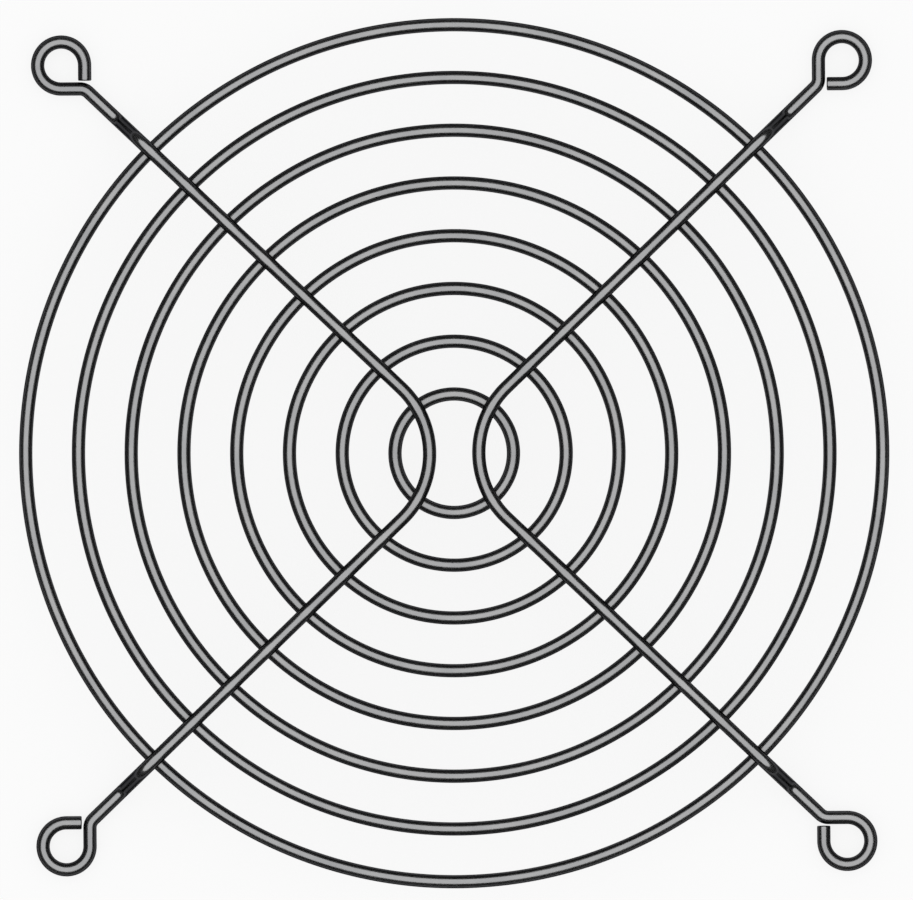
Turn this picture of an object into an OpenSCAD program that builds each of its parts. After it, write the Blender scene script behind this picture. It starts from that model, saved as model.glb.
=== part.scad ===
// Wire finger guard for a square axial fan.
// Eight wire rings are welded under two bent rib wires, and each rib wire ends in two screw eyes.
// The origin is the middle of the hole pattern, on the plane that the eyes seat on, and +Z points away from the fan.

/* [Mounting] */
// Distance between neighbouring screw holes
hole_pitch = 105; // [104:0.5:106]
// Clear diameter of each screw eye
eye_hole_d = 4.6; // [4.2:0.1:5]

/* [Wire] */
// Diameter of the wire, the same for rings and ribs
wire_d = 1.8; // [1.6:0.1:2]
// Depth by which the weld presses each ring into a rib
weld_set = 0.2; // [0.1:0.05:0.3]

/* [Rings] */
// Number of rings
ring_count = 8; // [5:1:9]
// Diameter of the largest ring, along the wire's centre
outer_ring_d = 115; // [112:0.5:117]
// Diameter of the smallest ring, along the wire's centre
inner_ring_d = 15.9; // [14:0.1:18]

/* [Ribs] */
// Clear gap between the two ribs at the middle of the guard
rib_gap = 4.8; // [4:0.2:6]

/* [Cranks] */
// Height of the legs above the eyes, centre to centre
crank_drop = 5; // [3.5:0.25:5.5]
// Radius of the two bends of a crank, along the wire's centre
crank_bend_r = 2; // [1.5:0.25:2.5]
// Distance from the centre of the largest ring's wire to the start of the crank
crank_gap = 1.2; // [0.9:0.1:1.6]

/* [Eyes] */
// Radius of the bend where a leg turns into its eye, along the wire's centre
neck_bend_r = 1.6; // [1.2:0.1:2]
// Depth of the narrow land that the bending mandrel presses inside an eye
land_depth = 0.04; // [0.03:0.01:0.06]
// Gap between the cut end of the wire and the leg it closes on
tip_gap = 0.2; // [0.1:0.05:0.4]
// Chamfer on the cut end of the wire
tip_chamfer = 0.15; // [0.1:0.05:0.25]

/* [Hidden] */
wire_r = wire_d / 2;
wire_sides = 16;
turn_sides = 60;
slack = 1;
plating = [0.80, 0.81, 0.82];

eye_z = wire_r;
rib_z = eye_z + crank_drop;
ring_z = rib_z - wire_d + weld_set;
ring_step = (outer_ring_d - inner_ring_d) / 2 / (ring_count - 1);

// An eye is a three-quarter turn, square to the hole pattern. Its ends run on as tangents that meet in a corner.
hole_x = hole_pitch / 2;
eye_turn = 270;
eye_r = eye_hole_d / 2 + wire_r - land_depth;
tip_length = eye_r - wire_r - tip_gap;
corner_x = hole_x - eye_r;

// The two legs of a rib start from those corners, each a little flatter than a diagonal of the hole pattern.
// Run straight on, they would cross a little beyond the middle of the guard.
leg_angle = 43.8;
legs_cross_x = corner_x / tan(leg_angle) - corner_x;
leg_to_cross = corner_x / sin(leg_angle);

// The middle bend rounds off that crossing, so that each leg meets it as a tangent.
half_bend = 90 - leg_angle;
bend_top_x = rib_gap / 2 + wire_r;
rib_bend_r = (legs_cross_x + bend_top_x) / (1 / sin(leg_angle) - 1);
leg_to_bend = leg_to_cross - rib_bend_r / tan(leg_angle);
bend_overlap = 2;

// A crank is two equal bends with a slope between them that climbs 4 for every 3 along.
crank_angle = atan2(4, 3);
crank_slope = (crank_drop - 2 * crank_bend_r * (1 - cos(crank_angle))) / sin(crank_angle);
crank_run = crank_slope * cos(crank_angle) + 2 * crank_bend_r * sin(crank_angle);

// Places along a leg, measured inwards from the corner of its eye
leg_miss = legs_cross_x * sin(leg_angle);
ring_cross = leg_to_cross - legs_cross_x * cos(leg_angle) - sqrt(pow(outer_ring_d / 2, 2) - pow(leg_miss, 2));
crank_top = ring_cross - crank_gap;
crank_foot = crank_top - crank_run;

// The wire is drawn as it is bent: each stretch starts at the origin along +X, and its children carry on from its end.

module straight(length) {
    rotate([0, 90, 0]) cylinder(r = wire_r, h = length, $fn = wire_sides);
    translate([length, 0, 0]) children();
}

// A bend to the left, flat in XY
module bend_left(radius, angle) {
    translate([0, radius, 0]) {
        rotate([0, 0, -90]) wire_turn(radius, angle);
        rotate([0, 0, angle]) translate([0, -radius, 0]) children();
    }
}

// A bend to the right, which is a bend to the left on wire rolled half over
module bend_right(radius, angle) {
    rotate([180, 0, 0]) bend_left(radius, angle)
        rotate([180, 0, 0]) children();
}

// A crank down to a lower level: a bend down, the slope and a bend back level
module crank_down() {
    rotate([-90, 0, 0]) bend_left(crank_bend_r, crank_angle)
        straight(crank_slope)
            bend_right(crank_bend_r, crank_angle)
                rotate([90, 0, 0]) children();
}

// Round wire along an arc about the origin
module wire_turn(radius, angle = 360) {
    rotate_extrude(angle = angle, $fn = turn_sides)
        translate([radius, 0]) circle(r = wire_r, $fn = wire_sides);
}

// The chamfered end where the wire is cut
module cut_end() {
    rotate([0, 90, 0]) cylinder(r1 = wire_r, r2 = wire_r - tip_chamfer, h = tip_chamfer, $fn = wire_sides);
}

// A leg from the middle bend outwards: the leg, the crank, the neck, and the eye down to its cut end.
// Every eye is wound the same way. neck_angle turns its first tangent square to the hole pattern.
module leg_and_eye(neck_angle) {
    neck_trim = neck_bend_r * tan(neck_angle / 2);
    straight(leg_to_bend - crank_top)
        crank_down()
            straight(crank_foot - neck_trim)
                bend_left(neck_bend_r, neck_angle)
                    straight(eye_r - neck_trim)
                        bend_right(eye_r, eye_turn)
                            straight(tip_length - tip_chamfer)
                                cut_end();
}

// The upper half of the left rib's wire, and a little more of the middle bend than its half
module upper_half() {
    rotate([0, 0, 180 - leg_angle]) translate([0, -rib_bend_r, 0]) {
        leg_and_eye(leg_angle);
        rotate([0, 180, 0]) bend_left(rib_bend_r, half_bend + bend_overlap);
    }
}

// The lower half of the left rib's wire, with its share of the middle bend likewise
module lower_half() {
    rotate([0, 0, leg_angle - 180]) translate([0, rib_bend_r, 0]) {
        leg_and_eye(90 - leg_angle);
        rotate([0, 180, 0]) bend_right(rib_bend_r, half_bend + bend_overlap);
    }
}

// The left rib. The mandrel presses a true bore in each eye, and the welds press a saddle over each ring.
module rib() {
    difference() {
        translate([-bend_top_x - rib_bend_r, 0, rib_z]) {
            upper_half();
            lower_half();
        }
        for (side = [-1, 1]) translate([-hole_x, side * hole_x, -slack])
            cylinder(r = eye_hole_d / 2, h = wire_d + 2 * slack, $fn = turn_sides);
        for (i = [1:ring_count]) ring(i);
    }
}

module ring(number) {
    translate([0, 0, ring_z]) wire_turn(inner_ring_d / 2 + (number - 1) * ring_step);
}

module ring_wire(number) {
    color(plating) ring(number);
}

module rib_wire_left() {
    color(plating) rib();
}

module rib_wire_right() {
    color(plating) rotate([0, 0, 180]) rib();
}

for (i = [1:ring_count])
    ring_wire(i);
rib_wire_left();
rib_wire_right();
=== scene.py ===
import bpy
import numpy as np
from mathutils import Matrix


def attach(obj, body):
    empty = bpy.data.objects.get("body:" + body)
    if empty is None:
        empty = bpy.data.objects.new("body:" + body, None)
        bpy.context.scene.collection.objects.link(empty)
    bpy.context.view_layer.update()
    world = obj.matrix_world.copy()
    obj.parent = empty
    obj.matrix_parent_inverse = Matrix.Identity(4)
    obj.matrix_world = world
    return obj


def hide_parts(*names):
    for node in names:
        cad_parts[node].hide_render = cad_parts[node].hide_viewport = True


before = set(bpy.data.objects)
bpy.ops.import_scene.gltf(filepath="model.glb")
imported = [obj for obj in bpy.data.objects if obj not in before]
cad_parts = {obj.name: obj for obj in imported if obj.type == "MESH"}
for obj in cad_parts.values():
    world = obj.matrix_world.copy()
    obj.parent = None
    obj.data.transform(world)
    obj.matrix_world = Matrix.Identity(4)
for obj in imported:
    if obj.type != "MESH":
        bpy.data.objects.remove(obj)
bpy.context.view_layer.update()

MM = 0.001

# Wire and rings
WIRE_R = 0.9 * MM
WELD_SET = 0.2 * MM
RING_COUNT = 8
INNER_RING_R = 7.95 * MM
OUTER_RING_R = 57.5 * MM

# Heights of the wires' centres
EYE_Z = WIRE_R
CRANK_DROP = 5.0 * MM
RIB_Z = EYE_Z + CRANK_DROP
RING_Z = RIB_Z - 2 * WIRE_R + WELD_SET

# Ribs
HOLE_X = 52.5 * MM
LEG_ANGLE = np.radians(43.8)
EYE_TURN = np.radians(270)
RIB_GAP = 4.8 * MM
CRANK_BEND_R = 2.0 * MM
CRANK_ANGLE = np.arctan2(4, 3)
CRANK_GAP = 1.2 * MM
NECK_BEND_R = 1.6 * MM
EYE_BORE_R = 2.3 * MM
LAND_DEPTH = 0.04 * MM
TIP_GAP = 0.2 * MM
TIP_ROUND = 0.15 * MM

# Fineness of the swept wires
RING_STEP = 0.22 * MM
RIB_STEP = 0.16 * MM
AROUND = 20

# How far from a weld its points are looked for, and how far its darker, browner mark reaches: weld discolouration,
# with painted shade where the wires meet
WELD_ZONE = 4.0 * MM
WELD_MARK_REACH = 2.5 * MM

# A spot weld: the swell of the melted metal round the touching point, and the flats that the electrodes press
SWELL_HEIGHT = 0.16 * MM
SWELL_REACH = 0.85 * MM
FLAT_DEPTH = 0.05 * MM
FLAT_REACH = 1.0 * MM

# Lengths along a leg, worked out as the maker would from the hole pattern
EYE_R = EYE_BORE_R + WIRE_R - LAND_DEPTH
CORNER_X = HOLE_X - EYE_R
LEGS_CROSS_X = CORNER_X / np.tan(LEG_ANGLE) - CORNER_X
LEG_TO_CROSS = CORNER_X / np.sin(LEG_ANGLE)
BEND_TOP_X = RIB_GAP / 2 + WIRE_R
RIB_BEND_R = (LEGS_CROSS_X + BEND_TOP_X) / (1 / np.sin(LEG_ANGLE) - 1)
LEG_TO_BEND = LEG_TO_CROSS - RIB_BEND_R / np.tan(LEG_ANGLE)
CRANK_SLOPE = (CRANK_DROP - 2 * CRANK_BEND_R * (1 - np.cos(CRANK_ANGLE))) / np.sin(CRANK_ANGLE)
CRANK_RUN = CRANK_SLOPE * np.cos(CRANK_ANGLE) + 2 * CRANK_BEND_R * np.sin(CRANK_ANGLE)
LEG_MISS = LEGS_CROSS_X * np.sin(LEG_ANGLE)
RING_CROSS = LEG_TO_CROSS - LEGS_CROSS_X * np.cos(LEG_ANGLE) - np.sqrt(OUTER_RING_R**2 - LEG_MISS**2)
CRANK_TOP = RING_CROSS - CRANK_GAP
CRANK_FOOT = CRANK_TOP - CRANK_RUN
TIP_LENGTH = EYE_R - WIRE_R - TIP_GAP

UP = np.array([0.0, 0.0, 1.0])

# Greys of the plate: in its haze, clear, round a weld (weld discolouration, with painted shade in the crease where
# ring and rib meet) and a painted shade for the wire's shoulders
PLATE_HAZY = (0.46, 0.465, 0.475, 1)
PLATE_CLEAR = (0.57, 0.57, 0.572, 1)
# Darker, browner plate round a weld: weld discolouration, with painted shade in the crease where ring and rib meet
PLATE_WELD_TINT_AND_SHADE = (0.36, 0.35, 0.34, 1)
# Painted shade: the near-black grey painted on the wire's shoulders, so that the wire shows dark edges
SHOULDER_PAINTED_SHADE = (0.06, 0.06, 0.063, 1)

# What the view takes in: its width, the middle of the guard seen from its centre, and the guard's slight turn
VIEW_WIDTH = 122.5174 * MM
VIEW_CENTRE = (0.30864 * MM, 0.42941 * MM)
VIEW_HEIGHT = 1.6
VIEW_TURN = np.radians(0.4)
SENSOR_WIDTH = 36


def ring_radius(number):
    """Radius of the wire's centre: equal steps from the smallest ring to the largest."""
    return INNER_RING_R + (number - 1) * (OUTER_RING_R - INNER_RING_R) / (RING_COUNT - 1)


def stretch(start, heading, length, radius=None, towards=None):
    """Points and headings along a straight or an arc, less the last one.
    A straight is start + heading s. An arc of that radius about start + radius towards is
    start + radius (heading sin a + towards (1 - cos a)), with a = s / radius."""
    count = max(int(np.ceil(length / RIB_STEP)), 2)
    s = np.linspace(0, length, count, endpoint=False)[:, None]
    if radius is None:
        return start + heading * s, np.broadcast_to(heading, (count, 3)), start + heading * length, heading
    a, end = s / radius, length / radius
    points = start + radius * (heading * np.sin(a) + towards * (1 - np.cos(a)))
    headings = heading * np.cos(a) + towards * np.sin(a)
    last = start + radius * (heading * np.sin(end) + towards * (1 - np.cos(end)))
    return points, headings, last, heading * np.cos(end) + towards * np.sin(end)


def bent_wire(start, heading, bends):
    """The stretches one after another. Each is a length, or a radius, an angle and the side it bends to:
    left and right are square to the heading in the level plane, up and down square to both."""
    parts = []
    at, way = np.array(start, float), np.array(heading, float)
    for bend in bends:
        if len(bend) == 1:
            points, headings, at, way = stretch(at, way, bend[0])
        else:
            radius, angle, side = bend
            left = np.cross(UP, way)
            left /= np.linalg.norm(left)
            towards = {"left": left, "right": -left, "up": np.cross(way, left), "down": -np.cross(way, left)}[side]
            points, headings, at, way = stretch(at, way, radius * angle, radius, towards)
        parts.append((points, headings))
    parts.append((at[None], way[None]))
    return np.concatenate([p for p, _ in parts]), np.concatenate([h for _, h in parts])


def leg_path(side):
    """Centre of half a left rib, from the middle of its bend out to the cut end in the eye."""
    neck = LEG_ANGLE if side > 0 else np.pi / 2 - LEG_ANGLE
    trim = NECK_BEND_R * np.tan(neck / 2)
    outwards = "left" if side > 0 else "right"
    return bent_wire(
        (-BEND_TOP_X, 0, RIB_Z),
        (0, side, 0),
        [
            (RIB_BEND_R, np.pi / 2 - LEG_ANGLE, outwards),
            (LEG_TO_BEND - CRANK_TOP,),
            (CRANK_BEND_R, CRANK_ANGLE, "down"),
            (CRANK_SLOPE,),
            (CRANK_BEND_R, CRANK_ANGLE, "up"),
            (CRANK_FOOT - trim,),
            (NECK_BEND_R, neck, "left"),
            (EYE_R - trim,),
            (EYE_R, EYE_TURN, "right"),
            (TIP_LENGTH,),
        ],
    )


def rib_path():
    """Centre of the whole left rib: the lower half reversed, then the upper half."""
    low, low_way = leg_path(-1)
    high, high_way = leg_path(1)
    return np.concatenate([low[:0:-1], high]), np.concatenate([-low_way[:0:-1], high_way])


def ring_path(number):
    """Centre of a ring: radius (cos a, sin a) at the rings' height."""
    radius = ring_radius(number)
    count = int(np.ceil(2 * np.pi * radius / RING_STEP))
    a = np.arange(count) * 2 * np.pi / count
    flat = np.zeros(count)
    points = np.stack([radius * np.cos(a), radius * np.sin(a), flat + RING_Z], 1)
    return points, np.stack([-np.sin(a), np.cos(a), flat], 1)


def half_turn(vectors):
    """The same vectors turned half round about Z."""
    return vectors * (-1, -1, 1)


def weld_points():
    """Where a ring touches a rib: the crossings of the rib's centre line with each ring in plan."""
    path, _ = rib_path()
    reach = np.hypot(path[:, 0], path[:, 1])
    found = []
    for number in range(1, RING_COUNT + 1):
        off = reach - ring_radius(number)
        k = np.nonzero(off[:-1] * off[1:] < 0)[0]
        share = (off[k] / (off[k] - off[k + 1]))[:, None]
        cross = path[k] + share * (path[k + 1] - path[k])
        found.append(cross)
    left = np.concatenate(found)
    left[:, 2] = RING_Z + WIRE_R - WELD_SET / 2
    return np.concatenate([left, half_turn(left)])


WELDS = weld_points()


def swept(path, way, radii):
    """A tube as points[i, j] = path[i] + radii[i] (side cos b + top sin b), with b round the wire.
    side is level and square to the heading, and top is square to both."""
    side = np.cross(UP, way)
    side /= np.linalg.norm(side, axis=1)[:, None]
    top = np.cross(way, side)
    b = np.arange(AROUND) * 2 * np.pi / AROUND
    normal = side[:, None] * np.cos(b)[:, None] + top[:, None] * np.sin(b)[:, None]
    return path[:, None] + normal * radii[:, None, None], normal


def welded(points, normals, outer_side):
    """The tube swollen by the welds and pressed flat by the electrodes, and how near each point is to a weld.
    The swell is height exp(-(distance / reach)^2) along the normal. The flat is on the ribs' top, side 1, or on
    the rings' underside, side -1: it holds a point back from that face's height by a depth that fades as
    exp(-(distance in plan / reach)^2)."""
    near = np.full(points.shape[:2], 1.0)
    for weld in WELDS:
        k = np.nonzero(np.abs(points[:, 0] - weld).max(1) < WELD_ZONE)[0]
        if not len(k):
            continue
        away = points[k] - weld
        far = np.linalg.norm(away, axis=2)
        points[k] += normals[k] * (SWELL_HEIGHT * np.exp(-((far / SWELL_REACH) ** 2)))[..., None]
        plan = np.hypot(away[..., 0], away[..., 1])
        press = FLAT_DEPTH * np.exp(-((plan / FLAT_REACH) ** 2))
        if outer_side > 0:
            points[k, :, 2] = np.minimum(points[k, :, 2], RIB_Z + WIRE_R - press)
        else:
            points[k, :, 2] = np.maximum(points[k, :, 2], RING_Z - WIRE_R + press)
        near[k] = np.minimum(near[k], far / WELD_MARK_REACH)
    return points, 1 - near


def wire_mesh(name, path, way, radii, closed, phase):
    """The tube as a mesh of quads, its ends closed by a fan, with the UV map wire: metres along and round."""
    points, normals = swept(path, way, radii)
    points, near = welded(points, normals, -1 if closed else 1)
    rows = len(points)
    along = np.concatenate([[0], np.cumsum(np.linalg.norm(np.diff(path, axis=0), axis=1))])
    if closed:
        along = np.append(along, along[-1] + np.linalg.norm(path[0] - path[-1]))
    i = np.arange(rows if closed else rows - 1)[:, None]
    j = np.arange(AROUND)[None]
    turn = (j + 1) % AROUND
    step = (i + 1) % rows
    quads = np.stack([i * AROUND + j, step * AROUND + j, step * AROUND + turn, i * AROUND + turn], -1).reshape(-1, 4)
    u = np.stack([along[i] + 0 * j, along[i + 1] + 0 * j, along[i + 1] + 0 * j, along[i] + 0 * j], -1)
    v = np.stack([j + 0 * i, j + 0 * i, j + 1 + 0 * i, j + 1 + 0 * i], -1) / AROUND * 2 * np.pi * WIRE_R
    uv = np.stack([u + phase, v], -1).reshape(-1, 2)
    verts = points.reshape(-1, 3)
    weld_nearness = near.reshape(-1)
    corners, sizes = quads.reshape(-1), np.full(len(quads), 4)
    if not closed:
        base = len(verts)
        verts = np.concatenate([verts, path[:1], path[-1:]])
        weld_nearness = np.append(weld_nearness, [0, 0])
        k = np.arange(AROUND)
        first = np.stack([np.full(AROUND, base), k, (k + 1) % AROUND], 1)
        back = (rows - 1) * AROUND
        last = np.stack([np.full(AROUND, base + 1), back + (k + 1) % AROUND, back + k], 1)
        corners = np.concatenate([corners, first.reshape(-1), last.reshape(-1)])
        sizes = np.concatenate([sizes, np.full(2 * AROUND, 3)])
        uv = np.concatenate([uv, np.zeros((6 * AROUND, 2))])
    mesh = bpy.data.meshes.new(name)
    mesh.vertices.add(len(verts))
    mesh.vertices.foreach_set("co", verts.ravel())
    mesh.loops.add(len(corners))
    mesh.loops.foreach_set("vertex_index", corners.astype(np.int32))
    mesh.polygons.add(len(sizes))
    mesh.polygons.foreach_set("loop_start", np.concatenate([[0], np.cumsum(sizes)[:-1]]).astype(np.int32))
    mesh.update(calc_edges=True)
    mesh.polygons.foreach_set("use_smooth", np.ones(len(sizes), bool))
    mesh.uv_layers.new(name="wire").data.foreach_set("uv", uv.ravel())
    mesh.attributes.new("weld", "FLOAT", "POINT").data.foreach_set("value", weld_nearness)
    mesh.update()
    mesh.validate()
    obj = bpy.data.objects.new(name, mesh)
    bpy.context.scene.collection.objects.link(obj)
    return obj


def rounded_ends(path):
    """Radius of a rib along its wire: full, and drawn in at each cut end as a quarter circle of TIP_ROUND."""
    along = np.concatenate([[0], np.cumsum(np.linalg.norm(np.diff(path, axis=0), axis=1))])
    end = np.minimum(along, along[-1] - along)
    inside = np.clip(1 - end / TIP_ROUND, 0, 1)
    return WIRE_R - TIP_ROUND * (1 - np.sqrt(1 - inside**2))


def fine_ends(path, way):
    """Extra stations close to both cut ends, so that their rounding shows."""
    share = np.array([0.0, 0.1, 0.3, 0.6])[:, None] * TIP_ROUND
    head = path[0] + way[0] * share
    tail = path[-1] - way[-1] * share[::-1]
    keep = slice(1, -1)
    return (
        np.concatenate([head, path[keep], tail]),
        np.concatenate([np.repeat(way[:1], 4, 0), way[keep], np.repeat(way[-1:], 4, 0)]),
    )


def make_ring(number, plate):
    path, way = ring_path(number)
    ring = wire_mesh("ring_%d_wire" % number, path, way, np.full(len(path), WIRE_R), True, number * 0.37)
    dress(ring, "ring_%d" % number, plate)


def make_rib(name, turned, plate, phase):
    path, way = fine_ends(*rib_path())
    radii = rounded_ends(path)
    if turned:
        path, way = half_turn(path), half_turn(way)
    rib = wire_mesh(name + "_bent", path, way, radii, False, phase)
    dress(rib, name, plate)


def dress(obj, node, plate):
    """The finished wire takes the node's place on the guard, in the guard's one finish."""
    obj.data.materials.append(plate)
    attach(obj, "root")
    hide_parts(node)


def new_material(name):
    material = bpy.data.materials.new(name)
    material.use_nodes = True
    nodes = material.node_tree.nodes
    nodes.clear()
    return material, nodes, material.node_tree.links


def add(nodes, kind, **values):
    """A node with its sockets or settings filled in."""
    node = nodes.new(kind)
    for key, value in values.items():
        if key in node.inputs:
            node.inputs[key].default_value = value
        else:
            setattr(node, key, value)
    return node


def noise(nodes, links, place, scale, detail, roughness=0.5):
    """Clouds or grains of the given fineness along the coordinates in place."""
    clouds = add(nodes, "ShaderNodeTexNoise", Scale=scale, Detail=detail, Roughness=roughness)
    links.new(place, clouds.inputs["Vector"])
    return clouds.outputs["Fac"]


def spread(nodes, links, value, start, end, low, high, interpolation="LINEAR"):
    """low where value is start or less, high where it is end or more, and between them in between."""
    node = add(nodes, "ShaderNodeMapRange", interpolation_type=interpolation)
    for name, number in (("From Min", start), ("From Max", end), ("To Min", low), ("To Max", high)):
        node.inputs[name].default_value = number
    links.new(value, node.inputs["Value"])
    return node.outputs["Result"]


def ramp(nodes, links, value, stops, interpolation="LINEAR"):
    """The colour that the stops, pairs of a position and a colour, give for value."""
    node = nodes.new("ShaderNodeValToRGB")
    node.color_ramp.interpolation = interpolation
    elements = node.color_ramp.elements
    for position, colour in stops[1:-1]:
        elements.new(position).color = colour
    for end in (0, -1):
        elements[end].position, elements[end].color = stops[end]
    links.new(value, node.inputs["Fac"])
    return node.outputs["Color"]


def blend(nodes, links, share, none, full):
    """Colour none where share is 0, full where it is 1. Each is a colour or another node's socket."""
    mix = add(nodes, "ShaderNodeMix", data_type="RGBA")
    links.new(share, mix.inputs["Factor"])
    for end, colour in (("A", none), ("B", full)):
        if isinstance(colour, tuple):
            mix.inputs[end].default_value = colour
        else:
            links.new(colour, mix.inputs[end])
    return mix.outputs["Result"]


def upright_share(nodes, links):
    """How far the surface faces straight up or down: 1 on the wire's top and underside, 0 on its sides."""
    lie = nodes.new("ShaderNodeNewGeometry")
    split = nodes.new("ShaderNodeSeparateXYZ")
    links.new(lie.outputs["Normal"], split.inputs["Vector"])
    level = add(nodes, "ShaderNodeMath", operation="ABSOLUTE")
    links.new(split.outputs["Z"], level.inputs[0])
    return level.outputs["Value"]


def plate_colour(nodes, links, haze, weld_tint_and_shade):
    """Grey clouded by the haze, and darker and browner round each weld: weld discolouration, with painted shade in
    the crease where ring and rib meet. Painted shade darkens the wire's shoulders by the slope of the surface, and
    it is lighter again on its sides."""
    clean = ramp(nodes, links, haze, ((0.3, PLATE_HAZY), (0.7, PLATE_CLEAR)))
    plate = blend(nodes, links, weld_tint_and_shade, clean, PLATE_WELD_TINT_AND_SHADE)
    grey = [(share, share, share, 1) for share in (0.9, 0.04, 0.0, 1.0)]
    stops = ((0.0, grey[0]), (0.26, grey[0]), (0.4, grey[1]), (0.72, grey[2]), (0.86, grey[3]))
    # Painted shade: the plate is darkened on the wire's shoulders by the slope of the surface, and lighter again on
    # its sides
    painted_shoulder_shade = ramp(nodes, links, upright_share(nodes, links), stops, "EASE")
    return blend(nodes, links, painted_shoulder_shade, SHOULDER_PAINTED_SHADE, plate)


def plate_roughness(nodes, links, haze, weld_tint_and_shade):
    """Between 0.16 and 0.26 by the haze, and 0.14 rougher where a weld has burnt the plate."""
    rough = add(nodes, "ShaderNodeMath", operation="MULTIPLY_ADD")
    rough.inputs[1].default_value = 0.14
    links.new(weld_tint_and_shade, rough.inputs[0])
    links.new(spread(nodes, links, haze, 0.0, 1.0, 0.16, 0.26), rough.inputs[2])
    return rough.outputs["Value"]


def plate_marks(nodes, links, place):
    """Drawing marks that run along the wire, under fine pits."""
    wire = add(nodes, "ShaderNodeUVMap", uv_map="wire")
    along = nodes.new("ShaderNodeMapping")
    along.inputs["Scale"].default_value = (120, 9000, 1)
    links.new(wire.outputs["UV"], along.inputs["Vector"])
    drawn = noise(nodes, links, along.outputs["Vector"], 1.0, 3.0, 0.55)
    pits = noise(nodes, links, place, 2600.0, 2.0)
    normal = None
    for height, strength in ((drawn, 0.35), (pits, 0.25)):
        bump = add(nodes, "ShaderNodeBump", Strength=strength, Distance=0.02 * MM)
        links.new(height, bump.inputs["Height"])
        if normal:
            links.new(normal, bump.inputs["Normal"])
        normal = bump.outputs["Normal"]
    return normal


def bright_plate():
    """Bright nickel-chrome plate on drawn steel wire. Clouds of haze vary its roughness, drawing marks run along the
    wire under the plate, fine pits break the glints, and the plate is duller, darker and browner round each weld:
    weld discolouration, with painted shade in the crease where ring and rib meet. Painted shade darkens the wire's
    shoulders."""
    material, nodes, links = new_material("bright_nickel_chrome_wire")
    shader = add(nodes, "ShaderNodeBsdfPrincipled", Metallic=1.0)
    shader.inputs["Specular Tint"].default_value = (0, 0, 0, 1)
    out = nodes.new("ShaderNodeOutputMaterial")
    links.new(shader.outputs["BSDF"], out.inputs["Surface"])
    place = nodes.new("ShaderNodeTexCoord").outputs["Object"]
    haze = noise(nodes, links, place, 140.0, 4.0, 0.6)
    weld = add(nodes, "ShaderNodeAttribute", attribute_name="weld")
    # Round each weld the plate is darker and browner: weld discolouration, with painted shade in the crease where
    # ring and rib meet
    weld_tint_and_shade = spread(nodes, links, weld.outputs["Fac"], 0.45, 0.9, 0.0, 1.0, "SMOOTHSTEP")
    links.new(plate_colour(nodes, links, haze, weld_tint_and_shade), shader.inputs["Base Color"])
    links.new(plate_roughness(nodes, links, haze, weld_tint_and_shade), shader.inputs["Roughness"])
    links.new(plate_marks(nodes, links, place), shader.inputs["Normal"])
    return material


def any_ray(nodes, links, kinds):
    """1 for a ray of any of the kinds, and 0 for every other."""
    rays = nodes.new("ShaderNodeLightPath")
    found = rays.outputs[kinds[0]]
    for kind in kinds[1:]:
        either = add(nodes, "ShaderNodeMath", operation="ADD", use_clamp=True)
        links.new(found, either.inputs[0])
        links.new(rays.outputs[kind], either.inputs[1])
        found = either.outputs["Value"]
    return found


def pale_floor():
    """A white floor that keeps the guard's shadow, and whose own white is seen directly and in the metal."""
    size, own_white = 6, 0.85
    bpy.ops.mesh.primitive_plane_add(size=size, location=(0, 0, 0))
    floor = bpy.context.object
    floor.name = "floor"
    material, nodes, links = new_material("white_floor")
    seen = any_ray(nodes, links, ("Is Camera Ray", "Is Glossy Ray", "Is Transmission Ray"))
    share = add(nodes, "ShaderNodeMath", operation="MULTIPLY")
    share.inputs[1].default_value = own_white
    links.new(seen, share.inputs[0])
    paint = add(nodes, "ShaderNodeBsdfDiffuse", Color=(0.9, 0.9, 0.9, 1))
    glow = add(nodes, "ShaderNodeEmission", Color=(1, 1, 1, 1), Strength=1.0)
    mix = nodes.new("ShaderNodeMixShader")
    out = nodes.new("ShaderNodeOutputMaterial")
    links.new(share.outputs["Value"], mix.inputs["Fac"])
    links.new(paint.outputs["BSDF"], mix.inputs[1])
    links.new(glow.outputs["Emission"], mix.inputs[2])
    links.new(mix.outputs["Shader"], out.inputs["Surface"])
    floor.data.materials.append(material)


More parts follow.
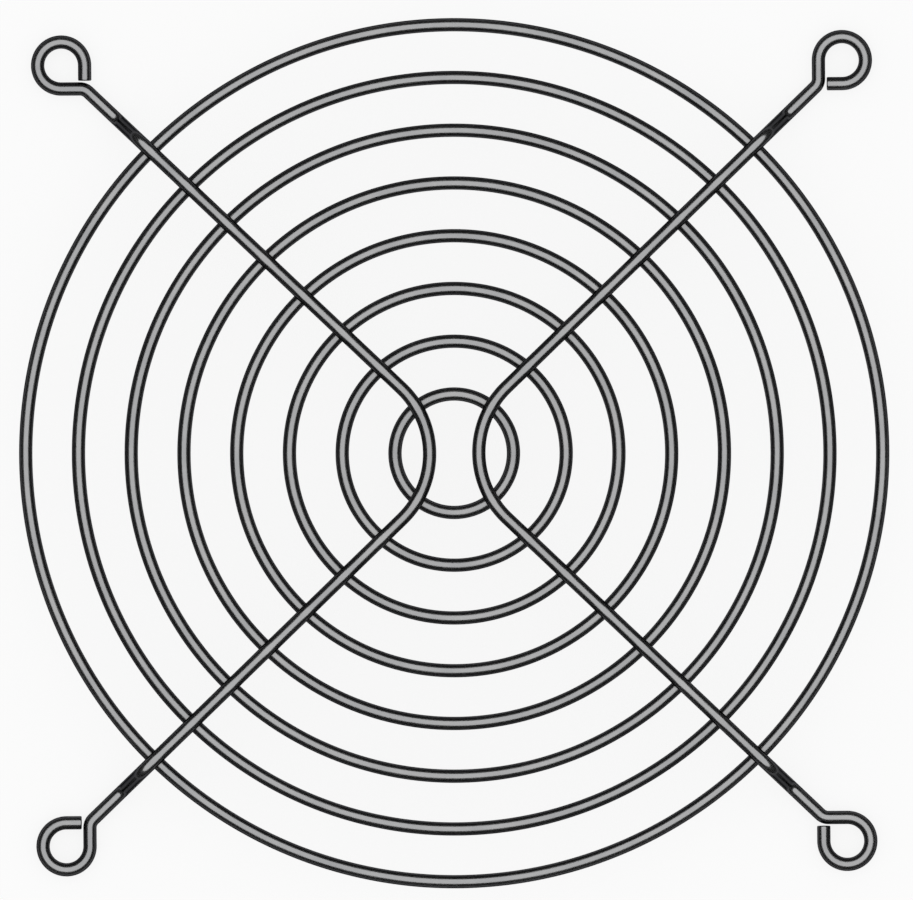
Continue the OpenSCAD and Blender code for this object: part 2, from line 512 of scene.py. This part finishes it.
def dark_screen():
    """A black screen stood all round the guard, out of the picture, so that the bright wire has dark sides.
    It is an open tube: radius (cos a, sin a), from just over the floor up."""
    radius, height, count = 0.6, 0.74, 96
    a = np.arange(count) * 2 * np.pi / count
    ring = np.stack([radius * np.cos(a), radius * np.sin(a), np.full(count, 0.002)], 1)
    verts = np.concatenate([ring, ring + UP * height])
    k = np.arange(count)
    after = (k + 1) % count
    quads = np.stack([after, k, k + count, after + count], 1)
    mesh = bpy.data.meshes.new("dark_screen")
    mesh.from_pydata(verts.tolist(), [], quads.tolist())
    screen = bpy.data.objects.new("dark_screen", mesh)
    bpy.context.scene.collection.objects.link(screen)
    material, nodes, links = new_material("black_screen")
    paint = add(nodes, "ShaderNodeBsdfDiffuse", Color=(0.02, 0.02, 0.02, 1))
    out = nodes.new("ShaderNodeOutputMaterial")
    links.new(paint.outputs["BSDF"], out.inputs["Surface"])
    mesh.materials.append(material)
    screen.visible_camera = False
    screen.visible_diffuse = False
    screen.visible_shadow = False


def studio():
    """Soft white light from all round, a little weaker from overhead than from the sides."""
    world = bpy.data.worlds.new("soft_studio")
    bpy.context.scene.world = world
    world.use_nodes = True
    nodes, links = world.node_tree.nodes, world.node_tree.links
    sky = nodes["Background"]
    sky.inputs["Color"].default_value = (1, 1, 1, 1)
    toward = nodes.new("ShaderNodeTexCoord")
    split = nodes.new("ShaderNodeSeparateXYZ")
    links.new(toward.outputs["Generated"], split.inputs["Vector"])
    light = spread(nodes, links, split.outputs["Z"], 0.25, 0.85, 1.1, 0.78, "SMOOTHSTEP")
    links.new(light, sky.inputs["Strength"])


def camera():
    """Looks straight down from far off, and takes in the view's width at the rings' height."""
    data = bpy.data.cameras.new("camera")
    data.sensor_width = SENSOR_WIDTH
    data.lens = SENSOR_WIDTH * (VIEW_HEIGHT - RING_Z) / VIEW_WIDTH
    data.clip_start, data.clip_end = 0.01, 20
    eye = bpy.data.objects.new("camera", data)
    eye.location = (*VIEW_CENTRE, VIEW_HEIGHT)
    eye.rotation_euler = (0, 0, -VIEW_TURN)
    bpy.context.scene.collection.objects.link(eye)
    bpy.context.scene.camera = eye


plate = bright_plate()
for number in range(1, RING_COUNT + 1):
    make_ring(number, plate)
make_rib("rib_wire_left", False, plate, 0.0)
make_rib("rib_wire_right", True, plate, 5.3)
pale_floor()
dark_screen()
studio()
camera()
bpy.context.scene.view_settings.view_transform = "Standard"
